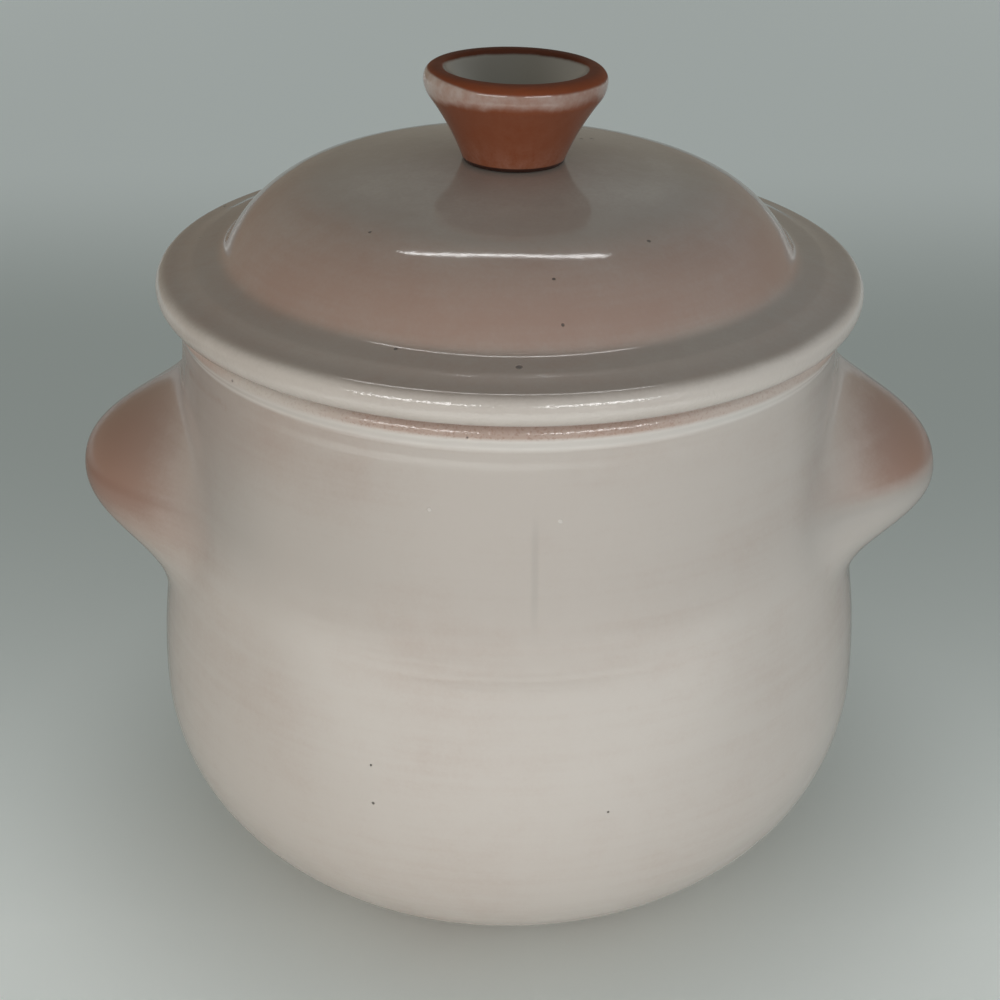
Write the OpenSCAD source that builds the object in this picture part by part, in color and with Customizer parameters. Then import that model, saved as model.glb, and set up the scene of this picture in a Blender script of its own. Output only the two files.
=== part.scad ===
// Covered clay pot: a round-bellied body with two lug ears, and a loose domed lid
// with a hollow flared knob. The pot stands on z = 0 and its axis is the Z axis.
// The right ear points along +X. All lengths are in millimetres.

/* [Pot] */
// Diameter of the flat base
base_d = 128; // [110:1:145]
// Diameter at the widest line of the belly
belly_d = 210; // [204:1:230]
// Height of the widest line above the floor
belly_h = 56.5; // [50:0.5:64]
// Radius of the wall's curve just above the widest line
haunch_r = 200; // [140:5:260]
// Diameter of the short upright neck
neck_d = 185; // [178:1:190]
// Height at which the leaning wall turns up into the neck
neck_h = 159; // [150:1:162]
// Height of the rim's flat seat
rim_h = 173.8; // [171:0.2:180]
// Radius of the roll round the outside of the rim
rim_roll_r = 3.2; // [2.4:0.2:3.8]
// How far the roll stands out from the neck
rim_overhang = 3; // [2:0.25:4]
// Radius on the inner edge of the rim
mouth_edge_r = 1.5; // [0.5:0.25:2]
// Thickness of the thrown wall
wall_t = 7; // [5:0.5:8]
// Thickness of the floor
floor_t = 9; // [7:0.5:12]

/* [Ears] */
// Distance from ear tip to ear tip
ear_span = 251; // [236:1:262]
// Height of the ear's crest
ear_z = 121.5; // [112:0.5:124]
// Reach of the ear above its crest
ear_up = 34; // [26:0.5:37]
// Reach of the ear below its crest
ear_down = 32; // [26:0.5:42]
// Reach of the ear along the wall to each side of its tip
ear_side = 54; // [30:1:62]
// Bluntness of the ear's tip, where 2 is round and more is blunter
ear_blunt = 2.2; // [1.8:0.1:3]
// Thickness left at the ear's feathered edge
ear_edge = 0.5; // [0.3:0.1:1]

/* [Lid] */
// Diameter of the lid's brim
lid_d = 200; // [197:1:210]
// Thickness of the brim at its rounded edge
brim_t = 8.4; // [6:0.2:10]
// Diameter of the crease where the dome rises from the brim
crease_d = 161.5; // [154:0.5:166]
// How far the brim climbs from its edge to the crease
brim_rise = 3.6; // [1:0.2:6]
// Height of the dome's top above the crease
dome_rise = 25.7; // [22:0.1:32]
// Radius of the dome's crown
crown_r = 280; // [220:5:360]
// Radius of the dome's shoulder
shoulder_r = 39.3; // [32:0.1:44]
// Thickness of the dome
lid_t = 6.5; // [5:0.5:8]

/* [Locating ring] */
// Depth of the ring below the brim
ring_depth = 11; // [7:0.5:16]
// Thickness of the ring
ring_t = 5.5; // [4:0.5:7]
// Play between the ring and the pot's mouth, all round
ring_play = 1.5; // [0.8:0.1:2.5]

/* [Knob] */
// Diameter of the knob's foot
knob_foot_d = 28.5; // [24:0.5:32]
// Diameter of the knob's rim
knob_d = 50.7; // [46:0.1:56]
// Height of the knob's widest line above the dome's top
knob_h = 24; // [21:0.5:30]
// Height of the lip above the widest line
lip_h = 1.6; // [1.2:0.1:2.4]
// Radius under the rim, where the side rolls in
knob_roll_r = 8; // [6:0.5:9]
// Radius of the hollow of the knob's side
knob_flank_r = 69; // [50:1:120]
// Diameter of the knob's mouth
knob_mouth_d = 39.2; // [34:0.1:41]
// Diameter at the bottom of the knob's well
well_d = 17; // [12:0.5:18]
// Depth of the knob's well
well_depth = 16; // [10:0.5:18]
// Radius round the bottom of the knob's well
well_corner_r = 4; // [2:0.5:5]
// How far the hand-set knob sits to the right of the lid's centre
knob_shift = 1; // [0:0.1:4]
// Lean of the hand-set knob towards the right, in degrees
knob_lean = 1.4; // [0:0.1:3]

/* [Hidden] */

// Facets of the preview, and of the circles with a long radius
$fn = 144;
LONG_FN = 720;
// Overlap that keeps neighbouring outlines joined
LAP = 1;
// Depth to which an outline crosses the arc that it runs out of, so that the two join cleanly
BITE = 0.02;
// Rings from an ear's tip to its edge, and points around each ring
EAR_RINGS = 13;
EAR_SIDES = 48;
// Depth to which an ear runs on inside the wall before it is trimmed to fit
EAR_ROOT = 2.5;

// Pot, worked out from the sizes above
base_r = base_d / 2;
belly_r = belly_d / 2;
neck_r = neck_d / 2;
mouth_r = neck_r - wall_t;
rim_r = neck_r + rim_overhang;
roll_at = [rim_r - rim_roll_r, rim_h - rim_roll_r];

// The lower belly is one arc, upright at the widest line and ending at the base's edge
bowl_r = (pow(belly_r - base_r, 2) + belly_h * belly_h) / (2 * (belly_r - base_r));
bowl_at = [belly_r - bowl_r, belly_h];

// The wall above it is an arc, then a straight lean that leaves the arc smoothly for the neck
haunch_at = [belly_r - haunch_r, belly_h];
neck_at = [neck_r, neck_h];
lean_dir = tangent_dir(haunch_at, haunch_r - BITE, neck_at);
lean_from = haunch_at + (haunch_r - BITE) * lean_dir;

// Inside of the same wall
lean_from_in = haunch_at + (haunch_r - BITE - wall_t) * lean_dir;
mouth_t = (mouth_r - lean_from_in.x) / (neck_at.x - lean_from.x);
mouth_from = lean_from_in + mouth_t * (neck_at - lean_from);

// Ear
ear_rise = ear_span / 2 - wall_r(ear_z) - ear_edge;

// Lid
lid_r = lid_d / 2;
edge_r = brim_t / 2;
brim_at = [lid_r - edge_r, rim_h + brim_t];
crease_at = [crease_d / 2, brim_at.y + brim_rise];
brim_dir = (crease_at - brim_at) / norm(crease_at - brim_at);
dome_z = crease_at.y + dome_rise;
crown_at = [0, dome_z - crown_r];
shoulder_at = arcs_meet(crown_at, crown_r - shoulder_r + BITE, crease_at, shoulder_r);
crown_dir = (shoulder_at - crown_at) / norm(shoulder_at - crown_at);
crown_end = crown_at + crown_r * crown_dir;
crown_end_in = crown_at + (crown_r - lid_t) * crown_dir;

// Locating ring
ring_r = mouth_r - ring_play;
ring_in_r = ring_r - ring_t;

// Knob, in its own frame with the dome's top at zero
knob_r = knob_d / 2;
foot_at = [knob_foot_d / 2, 0];
roll_in_at = [knob_r - knob_roll_r, knob_h];
flank_at = arcs_meet(roll_in_at, knob_flank_r + knob_roll_r - BITE, foot_at, knob_flank_r);
flank_dir = (flank_at - roll_in_at) / norm(flank_at - roll_in_at);
flank_end = roll_in_at + knob_roll_r * flank_dir;
knob_top = knob_h + lip_h;
// Depth of the spare clay under the foot, which the dome trims away
foot_spare = 3;

// Direction from a circle's centre to the point where a line from p leaves it smoothly
function tangent_dir(c, r, p) =
    let (v = p - c, a = atan2(v.y, v.x) - acos(r / norm(v)))
    [cos(a), sin(a)];

// The left-hand point at which two circles cross, going from the first centre to the second
function arcs_meet(c0, r0, c1, r1) =
    let (
        d = norm(c1 - c0),
        along = (r0 * r0 - r1 * r1 + d * d) / (2 * d),
        aside = sqrt(r0 * r0 - along * along),
        u = (c1 - c0) / d
    )
    c0 + along * u + aside * [-u.y, u.x];

// Radius of the pot's outside at height z, below the rim
function wall_r(z) =
    z < belly_h ? bowl_at.x + sqrt(bowl_r * bowl_r - pow(z - belly_h, 2)) :
    z < lean_from.y ? haunch_at.x + sqrt(haunch_r * haunch_r - pow(z - belly_h, 2)) :
    z < neck_h ? lean_from.x + (z - lean_from.y) * (neck_r - lean_from.x) / (neck_h - lean_from.y) :
    neck_r;

// Swell of the ear over the wall: s is 0 at the tip and 1 at the edge
function ear_swell(s) = ear_edge + ear_rise * pow(1 - pow(s, ear_blunt), 2);

// A point of the ear at s along the bearing a, standing out from the wall by lift
function ear_point(s, a, lift) =
    let (
        z = ear_z + s * sin(a) * (sin(a) > 0 ? ear_up : ear_down),
        turn = s * cos(a) * ear_side / wall_r(ear_z) * 180 / PI,
        r = wall_r(z) + lift
    )
    [r * cos(turn), r * sin(turn), z];

// Rectangle from corner a to corner b
module box2(a, b) {
    polygon([a, [b.x, a.y], b, [a.x, b.y]]);
}

// Disc of radius r at c
module disc(c, r, fn = $fn) {
    translate(c) circle(r, $fn = fn);
}

// Outline of the pot from its axis to its outside
module pot_outside() {
    // Lower belly
    intersection() {
        disc(bowl_at, bowl_r);
        box2([0, 0], [belly_r, belly_h]);
    }
    box2([0, 0], [base_r - LAP, belly_h]);
    // Haunch
    intersection() {
        disc(haunch_at, haunch_r, LONG_FN);
        box2([0, belly_h], [belly_r, lean_from.y + 4 * LAP]);
    }
    // Leaning wall, neck and rim
    polygon([[0, lean_from.y], lean_from, neck_at, [neck_r, roll_at.y], [0, roll_at.y]]);
    box2([0, roll_at.y - LAP], [roll_at.x, rim_h]);
    disc(roll_at, rim_roll_r);
}

// Outline of the room inside the pot
module pot_inside() {
    intersection() {
        disc(bowl_at, bowl_r - wall_t);
        box2([0, floor_t], [belly_r, belly_h]);
    }
    box2([0, floor_t], [bowl_at.x, belly_h]);
    intersection() {
        disc(haunch_at, haunch_r - wall_t, LONG_FN);
        box2([0, belly_h], [belly_r, lean_from_in.y + 4 * LAP]);
    }
    polygon([
        [0, lean_from_in.y],
        lean_from_in,
        mouth_from,
        [mouth_r, rim_h + LAP],
        [0, rim_h + LAP]
    ]);
}

// Clay that the rounded inner edge of the rim lacks
module mouth_edge_cut() {
    difference() {
        box2([mouth_r - LAP, rim_h - mouth_edge_r], [mouth_r + mouth_edge_r, rim_h + LAP]);
        disc([mouth_r + mouth_edge_r, rim_h - mouth_edge_r], mouth_edge_r);
    }
}

module pot_body() {
    color("linen")
        rotate_extrude()
            difference() {
                pot_outside();
                pot_inside();
                mouth_edge_cut();
            }
}

// A lug swelling out of the wall, with a root inside it
module ear_clay() {
    turns = [for (k = [0:EAR_SIDES - 1]) 360 * k / EAR_SIDES];
    outer = [
        ear_point(0, 0, ear_swell(0)),
        for (i = [1:EAR_RINGS], a = turns) ear_point(i / EAR_RINGS, a, ear_swell(i / EAR_RINGS))
    ];
    root = [for (a = turns) ear_point(1, a, -EAR_ROOT), ear_point(0, 0, -EAR_ROOT - LAP)];
    last = len(outer) + EAR_SIDES;
    faces = [
        for (k = [0:EAR_SIDES - 1])
            let (n = (k + 1) % EAR_SIDES)
            each [
                [0, 1 + n, 1 + k],
                [last, len(outer) + k, len(outer) + n],
                for (i = [1:EAR_RINGS])
                    let (p = 1 + (i - 1) * EAR_SIDES, q = p + EAR_SIDES)
                    each [[p + k, p + n, q + n], [p + k, q + n, q + k]]
            ]
    ];
    polyhedron(concat(outer, root), faces);
}

// Right-hand ear, trimmed to sit on the wall
module ear() {
    difference() {
        ear_clay();
        rotate_extrude() pot_outside();
    }
}

module right_ear() {
    color("rosybrown") ear();
}

module left_ear() {
    color("rosybrown") mirror([1, 0, 0]) ear();
}

// Outline of the dome from its axis, for its outside or for the hollow under it
module dome(thinner, end, from_z) {
    intersection() {
        disc(crown_at, crown_r - thinner, LONG_FN);
        box2([0, from_z], [end.x, dome_z]);
    }
    intersection() {
        disc(shoulder_at, shoulder_r - thinner);
        box2([shoulder_at.x, from_z], [lid_r, dome_z]);
    }
}

module lid_shell() {
    brim_root = crease_at + 4 * LAP * brim_dir;
    color("seashell")
        rotate_extrude()
            difference() {
                union() {
                    polygon([[0, rim_h], [brim_at.x, rim_h], brim_at, brim_root, [0, brim_root.y]]);
                    disc([brim_at.x, rim_h + edge_r], edge_r);
                    dome(0, crown_end, rim_h + edge_r);
                }
                intersection() {
                    dome(lid_t, crown_end_in, rim_h - LAP);
                    box2([0, rim_h - LAP], [ring_in_r, dome_z]);
                }
            }
}

// The ring under the brim, with a full round at its lower edge
module lid_ring() {
    round_r = ring_t / 2;
    color("mistyrose")
        rotate_extrude() {
            box2([ring_in_r, rim_h - ring_depth + round_r], [ring_r, rim_h]);
            disc([ring_r - round_r, rim_h - ring_depth + round_r], round_r);
        }
}

// Outline of the knob from its axis to its outside, with spare clay under the foot
module knob_outside() {
    difference() {
        box2([0, -foot_spare], [knob_r, flank_end.y]);
        disc(flank_at, knob_flank_r, LONG_FN);
    }
    intersection() {
        disc(roll_in_at, knob_roll_r);
        box2([0, flank_end.y - LAP], [knob_r, knob_h]);
    }
    box2([0, flank_end.y - LAP], [roll_in_at.x, knob_h]);
    // Lip, rounded at its outer and inner edges
    box2([0, knob_h - LAP], [knob_r - lip_h, knob_top]);
    intersection() {
        disc([knob_r - lip_h, knob_h], lip_h);
        box2([0, knob_h], [knob_r, knob_top]);
    }
}

// Outline of the knob's well
module knob_well() {
    mouth = knob_mouth_d / 2;
    well = well_d / 2;
    low = knob_top - well_depth;
    edge_at = [mouth + lip_h, knob_top - lip_h];
    polygon([
        [0, low + well_corner_r],
        [well, low + well_corner_r],
        [mouth, knob_top - lip_h],
        [mouth, knob_top + LAP],
        [0, knob_top + LAP]
    ]);
    box2([0, low], [well - well_corner_r, low + well_corner_r]);
    intersection() {
        disc([well - well_corner_r, low + well_corner_r], well_corner_r);
        box2([0, low], [well, low + well_corner_r]);
    }
    difference() {
        box2([mouth - LAP, edge_at.y], [edge_at.x, knob_top + LAP]);
        disc(edge_at, lip_h);
    }
}

module lid_knob() {
    color("sienna")
        difference() {
            translate([knob_shift, 0, dome_z])
                rotate([0, knob_lean, 0])
                    rotate_extrude()
                        difference() {
                            knob_outside();
                            knob_well();
                        }
            translate([0, 0, crown_at.y]) sphere(crown_r, $fn = LONG_FN);
        }
}

pot_body();
left_ear();
right_ear();
lid_shell();
lid_ring();
lid_knob();
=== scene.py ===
"""Looks of a covered clay pot: a glazed body, two lug ears, a domed lid and its knob.

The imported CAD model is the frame. Each piece is a surface worked out with numpy, in metres.
It stands for one solid and has its sizes, with the small unevenness of work by hand.
"""

import math

import bpy
import numpy as np
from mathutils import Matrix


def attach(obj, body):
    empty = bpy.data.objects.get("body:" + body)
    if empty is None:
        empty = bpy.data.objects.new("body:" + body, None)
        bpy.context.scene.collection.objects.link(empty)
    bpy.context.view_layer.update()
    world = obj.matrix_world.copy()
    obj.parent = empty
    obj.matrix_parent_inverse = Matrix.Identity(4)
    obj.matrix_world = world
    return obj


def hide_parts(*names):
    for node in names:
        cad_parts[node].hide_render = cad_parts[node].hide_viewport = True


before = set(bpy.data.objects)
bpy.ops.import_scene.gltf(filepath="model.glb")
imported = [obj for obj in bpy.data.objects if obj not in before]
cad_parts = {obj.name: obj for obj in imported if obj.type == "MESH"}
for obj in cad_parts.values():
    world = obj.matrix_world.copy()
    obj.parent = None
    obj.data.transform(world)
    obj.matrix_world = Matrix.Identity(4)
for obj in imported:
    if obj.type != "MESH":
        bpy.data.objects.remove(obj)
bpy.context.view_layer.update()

bl_info = {
    "name": "Covered clay pot",
    "version": (1, 0, 0),
    "blender": (4, 5, 0),
    "location": "View3D > Sidebar > Clay pot",
    "description": "Builds a glazed clay pot with lug ears and a domed lid with a flared knob",
    "category": "Add Mesh",
}

FULL_TURN, QUARTER_TURN = 2 * math.pi, math.pi / 2


# ---------------------------------------------------------------- settings


def length(name, description, default):
    """A size in metres."""
    return bpy.props.FloatProperty(
        name=name, description=description, default=default, precision=4, unit="LENGTH"
    )


def angle(name, description, degrees):
    """An angle, written in degrees."""
    return bpy.props.FloatProperty(
        name=name, description=description, default=math.radians(degrees), subtype="ANGLE"
    )


def share(name, description, default):
    """A plain number from 0 up."""
    return bpy.props.FloatProperty(name=name, description=description, default=default, min=0.0)


def linear(red, green, blue):
    """Screen values from 0 to 255 as linear light."""
    screen = np.array([red, green, blue]) / 255.0
    light = np.where(screen <= 0.04045, screen / 12.92, ((screen + 0.055) / 1.055) ** 2.4)
    return tuple(float(value) for value in light)


def colour(name, description, *screen):
    """A colour, written in screen values from 0 to 255."""
    return bpy.props.FloatVectorProperty(
        name=name, description=description, default=linear(*screen), subtype="COLOR", size=3
    )


def group(name, description, kind):
    """A group of settings."""
    return bpy.props.PointerProperty(name=name, description=description, type=kind)


class PotSizes(bpy.types.PropertyGroup):
    """Sizes of the thrown body."""

    base_d: length("Base", "Diameter of the flat base", 0.128)
    belly_d: length("Belly", "Diameter at the widest line of the belly", 0.210)
    belly_h: length("Belly height", "Height of the widest line", 0.0565)
    haunch_r: length("Haunch", "Radius of the wall's curve above the widest line", 0.200)
    neck_d: length("Neck", "Diameter of the short upright neck", 0.187)
    neck_h: length("Neck height", "Height at which the wall turns up into the neck", 0.159)
    rim_h: length("Rim height", "Height of the rim's seat", 0.1738)
    rim_roll_r: length("Rim roll", "Radius of the roll round the rim", 0.0032)
    rim_drop: length("Rim drop", "How far the roll lies below the seat of the lid", 0.0016)
    rim_slope: angle("Rim slope", "Slope from the seat down to the roll", 22.6)
    rim_overhang: length("Rim overhang", "How far the roll stands out from the neck", 0.0018)
    mouth_edge_r: length("Mouth edge", "Radius on the inner edge of the rim", 0.0015)
    wall_t: length("Wall", "Thickness of the thrown wall", 0.007)
    floor_t: length("Floor", "Thickness of the floor", 0.009)
    rim_fall: angle("Rim fall", "How far the hand-cut rim runs down to the right", 0.75)
    ripple: length("Throwing rings", "Depth of the faint rings left by throwing", 0.000010)
    wobble: length("Wobble", "Depth of the slow unevenness of hand-thrown clay", 0.000045)


class EarSizes(bpy.types.PropertyGroup):
    """Sizes of the two lug ears."""

    span: length("Span", "Distance from ear tip to ear tip", 0.2506)
    crest_h: length("Crest height", "Height of the right ear's crest", 0.1215)
    up: length("Reach up", "Reach of the right ear above its crest", 0.0376)
    down: length("Reach down", "Reach of the right ear below its crest", 0.0338)
    left_crest_h: length("Left crest height", "Height of the left ear's crest", 0.1227)
    left_up: length("Left reach up", "Reach of the left ear above its crest", 0.0313)
    left_down: length("Left reach down", "Reach of the left ear below its crest", 0.0421)
    side: length("Reach sideways", "Reach of each ear along the wall to each side", 0.060)
    blunt: share("Bluntness", "2 is a round tip and more is blunter", 2.35)


class LidSizes(bpy.types.PropertyGroup):
    """Sizes of the lid and of the ring under it."""

    brim_d: length("Brim", "Diameter of the lid's brim", 0.200)
    brim_t: length("Brim thickness", "Thickness of the brim at its rounded edge", 0.0084)
    crease_d: length("Crease", "Diameter of the crease round the dome", 0.1615)
    brim_rise: length("Brim rise", "How far the brim climbs to the crease", 0.0036)
    brim_droop: length("Brim droop", "How far the edge hangs below the seat", 0.0010)
    roll_in: length("Brim roll", "How far in from the edge the brim dips", 0.0045)
    roll_w: length("Brim roll width", "Width over which it dips", 0.0013)
    roll_h: length("Brim roll height", "Height of that dip", 0.0002)
    dome_rise: length("Dome rise", "Height of the dome above the crease", 0.0257)
    crown_r: length("Crown", "Radius of the dome's crown", 0.280)
    shoulder_r: length("Shoulder", "Radius of the dome's shoulder", 0.0393)
    dome_t: length("Dome thickness", "Thickness of the dome", 0.0065)
    ring_depth: length("Ring depth", "Depth of the ring below the brim", 0.011)
    ring_t: length("Ring thickness", "Thickness of the ring", 0.0055)
    ring_play: length("Ring play", "Play between the ring and the mouth", 0.0025)


class KnobSizes(bpy.types.PropertyGroup):
    """Sizes of the hollow knob."""

    foot_d: length("Foot", "Diameter of the knob's foot", 0.0285)
    rim_d: length("Rim", "Diameter of the knob's rim", 0.0508)
    rim_h: length("Rim height", "Height of the widest line above the dome", 0.0222)
    lip_h: length("Lip", "Height of the lip above the widest line", 0.0034)
    lip_in_r: length("Lip edge", "Radius on the inner edge of the lip", 0.0014)
    roll_r: length("Roll", "Radius under the rim, where the side rolls in", 0.008)
    flank_r: length("Flank", "Radius of the hollow of the side", 0.069)
    mouth_d: length("Mouth", "Diameter of the knob's mouth", 0.0392)
    well_d: length("Well", "Diameter at the bottom of the well", 0.017)
    well_depth: length("Well depth", "Depth of the well", 0.016)
    well_corner_r: length("Well corner", "Radius round the bottom of the well", 0.004)
    shift: length("Shift", "How far the knob sits to the right of the centre", 0.001)
    lean: angle("Lean", "Lean of the knob to the right", 1.4)
    nod: angle("Nod", "Lean of the knob to the back", 1.2)


class ClayColours(bpy.types.PropertyGroup):
    """Colours of the glaze and the clay, as they show in plain light, and a grey for drips and
    painted shade.
    """

    milk: colour("Milk", "Glaze where it lies thick", 203, 194, 186)
    bead: colour("Bead", "Beads of thick glaze", 226, 220, 214)
    blush: colour("Blush", "Glaze with the clay showing through", 184, 162, 150)
    # This grey is the drip's colour, and painted shade high on the wall and round the ears.
    shade_and_drip_grey: colour("Haze", "Greyer glaze high on the wall and round the ears", 172, 166, 160)
    thin: colour("Thin glaze", "Glaze worn thin over the clay", 155, 122, 107)
    lid_haze: colour("Lid haze", "Thinner glaze of the lid's top", 171, 159, 150)
    lid_glow: colour("Lid glow", "Clay showing through low on the dome", 161, 135, 123)
    clay: colour("Bare clay", "Unglazed terracotta", 117, 62, 37)
    rust: colour("Lip", "Bare clay of the knob's lip", 120, 61, 35)
    well: colour("Well", "Glaze in the knob's well", 150, 144, 134)
    pit: colour("Pinhole", "Dark pinholes in the glaze", 70, 60, 54)
    # This dark is also laid on the back of the knob's lip as painted shade.
    joint: colour("Joint", "Dark line where the knob is luted on", 44, 22, 15)


class StageSettings(bpy.types.PropertyGroup):
    """Camera, floor and light."""

    camera_y: length("Camera distance", "Distance from the pot's axis", 0.5547)
    camera_z: length("Camera height", "Height above the floor", 0.3811)
    camera_pitch: angle("Camera pitch", "Angle below the horizon", 26.47)
    camera_yaw: angle("Camera turn", "Turn to the left of the pot's axis", 0.285)
    lens: share("Lens", "Focal length in millimetres on a 36 mm frame", 74.08)
    # The floor's tones are painted shade: paler in front and far off, darker behind the pot.
    floor_near: colour("Near floor", "Pale matt floor in front of the pot", 236, 241, 238)
    floor_mid: colour("Middle floor", "Floor behind the pot", 194, 202, 199)
    floor_far: colour("Far floor", "Floor in the distance", 240, 247, 246)
    # The floor's glow is painted light, and its fading near the pot is a painted shadow.
    glow: share("Floor glow", "How much brighter the floor shows away from the pot", 0.20)
    air: colour("Surroundings", "Soft light from all round", 170, 174, 172)
    dusk: colour("Dark side", "Darker left that shows in the gloss", 130, 121, 104)
    front: share("Front light", "Brightness of the wide low lights", 6.0)
    # The table sheen is a painted reflection: the floor glows only in the pot's gloss.
    sheen: share("Table sheen", "How much brighter the table shows in the pot's gloss", 1.45)
    back: share("Back light", "Brightness of the low lights behind", 2.0)
    window: share("Window", "Brightness of the windows that show in the gloss", 9.0)
    tube: share("Tube", "Brightness of the tube that shows in the dome's gloss", 12.0)


class ClayPotSettings(bpy.types.PropertyGroup):
    """All that a user would change."""

    pot: group("Pot", "Sizes of the body", PotSizes)
    ears: group("Ears", "Sizes of the ears", EarSizes)
    lid: group("Lid", "Sizes of the lid and its ring", LidSizes)
    knob: group("Knob", "Sizes of the knob", KnobSizes)
    clay: group("Clay", "Colours of glaze and clay", ClayColours)
    stage: group("Stage", "Camera, floor and light", StageSettings)


# ---------------------------------------------------------------- outlines


def point(r, z):
    """Point of a half section: its distance from the axis and its height."""
    return np.array([r, z], float)


def run(start, end, count=24):
    """Straight run of points from start to end."""
    return np.linspace(start, end, count)


def arc(centre, radius, start, end, count=48):
    """Arc: centre + radius (cos t, sin t), with t from start to end in radians."""
    t = np.linspace(start, end, count)
    return np.asarray(centre) + radius * np.column_stack([np.cos(t), np.sin(t)])


def bearing(vector):
    """Angle of a vector above the level, in radians."""
    return math.atan2(vector[1], vector[0])


def tangent_bearing(centre, radius, target):
    """Bearing from a circle's centre to where a line to the target leaves it smoothly."""
    away = target - centre
    return bearing(away) - math.acos(radius / np.hypot(*away))


def arcs_meet(first, first_r, second, second_r):
    """Left-hand crossing of two circles, going from the first centre to the second."""
    between = second - first
    gap = np.hypot(*between)
    along = (first_r**2 - second_r**2 + gap**2) / (2 * gap)
    aside = math.sqrt(first_r**2 - along**2)
    unit = between / gap
    return first + along * unit + aside * np.array([-unit[1], unit[0]])


def arc_lengths(outline):
    """Distance along an outline to each of its points."""
    steps = np.hypot(*np.diff(outline, axis=0).T)
    return np.concatenate([[0.0], np.cumsum(steps)])


def spaced(outline, step):
    """The same outline with its points an even step apart."""
    along = arc_lengths(outline)
    at = np.linspace(0.0, along[-1], max(8, int(along[-1] / step)))
    return np.column_stack([np.interp(at, along, outline[:, k]) for k in (0, 1)])


def rounded(outline, step, softness, closed=False):
    """Outline with its corners eased, as glaze eases them.

    Each coordinate is averaged along the outline with a bell curve of the given width.
    An open outline ends on the axis, and is carried on there as its own mirror image.
    """
    even = spaced(outline, step)
    if closed:
        even = even[:-1]
    reach = int(4 * softness / step)
    bell = np.exp(-0.5 * (np.arange(-reach, reach + 1) * step / softness) ** 2)
    bell /= bell.sum()
    if closed:
        carried = np.concatenate([even[-reach:], even, even[:reach]])
    else:
        mirror = np.array([-1.0, 1.0])
        carried = np.concatenate(
            [even[reach:0:-1] * mirror, even, even[-2 : -reach - 2 : -1] * mirror]
        )
    return np.column_stack([np.convolve(carried[:, k], bell, "valid") for k in (0, 1)])


def thinned(outline, longest, bend):
    """Outline with a point for each longest step or each bend, in radians, and no more.

    The distance and the turning along it are added up, as counts of whole steps and of
    whole bends, and a point is kept wherever their sum passes the next whole number.
    """
    heading = np.unwrap(np.arctan2(*np.diff(outline, axis=0).T[::-1]))
    turning = np.concatenate([[0.0], np.cumsum(np.abs(np.diff(heading))), [0.0]])
    turning[-1] = turning[-2]
    count = np.floor(arc_lengths(outline) / longest + turning / bend)
    kept = np.concatenate([[True], np.diff(count) > 0])
    kept[-1] = True
    return outline[kept]


def ease(value, low, high):
    """Smooth step from 0 at low to 1 at high."""
    t = np.clip((value - low) / (high - low), 0.0, 1.0)
    return t * t * (3.0 - 2.0 * t)


def pot_outline(pot):
    """Half section of the body: out along the base, up the outside, over the rim, down inside.

    The lower belly is one arc from the base's edge to the widest line. Above it comes the
    haunch, an arc, then a straight lean to the upright neck, the roll of the rim and the
    slope up to the seat of the lid. The inside runs parallel to it.
    """
    base_r, belly_r, neck_r = pot.base_d / 2, pot.belly_d / 2, pot.neck_d / 2
    mouth_r = neck_r - pot.wall_t
    bowl_r = ((belly_r - base_r) ** 2 + pot.belly_h**2) / (2 * (belly_r - base_r))
    bowl = point(belly_r - bowl_r, pot.belly_h)
    haunch = point(belly_r - pot.haunch_r, pot.belly_h)
    neck = point(neck_r, pot.neck_h)
    lean = tangent_bearing(haunch, pot.haunch_r, neck)
    lean_dir = point(math.cos(lean), math.sin(lean))
    lean_in = haunch + (pot.haunch_r - pot.wall_t) * lean_dir
    slope = neck - (haunch + pot.haunch_r * lean_dir)
    mouth = lean_in + slope * (mouth_r - lean_in[0]) / slope[0]
    roll_h = pot.rim_h - pot.rim_drop - pot.rim_roll_r
    roll = point(neck_r + pot.rim_overhang - pot.rim_roll_r, roll_h)
    turn = QUARTER_TURN - pot.rim_slope
    under = -math.acos(np.clip((neck_r - roll[0]) / pot.rim_roll_r, -1, 1))
    edge = point(mouth_r + pot.mouth_edge_r, pot.rim_h - pot.mouth_edge_r)
    shoulder = roll + pot.rim_roll_r * point(math.cos(turn), math.sin(turn))
    seat = point(shoulder[0] - (pot.rim_h - shoulder[1]) / math.tan(pot.rim_slope), pot.rim_h)
    base = bearing(point(base_r, 0) - bowl)
    inner_r = bowl_r - pot.wall_t
    sill = math.asin((pot.floor_t - bowl[1]) / inner_r)
    floor = point(bowl[0] + inner_r * math.cos(sill), pot.floor_t)
    return np.concatenate([
        run(point(0, 0), point(base_r, 0)),
        arc(bowl, bowl_r, base, 0),
        arc(haunch, pot.haunch_r, 0, lean),
        run(neck, point(neck_r, roll[1] + pot.rim_roll_r * math.sin(under))),
        arc(roll, pot.rim_roll_r, under, turn),
        run(seat, point(edge[0], pot.rim_h), 8),
        arc(edge, pot.mouth_edge_r, QUARTER_TURN, math.pi),
        run(mouth, lean_in),
        arc(haunch, pot.haunch_r - pot.wall_t, lean, 0),
        arc(bowl, inner_r, 0, sill),
        run(floor, point(0, pot.floor_t)),
    ])


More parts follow.
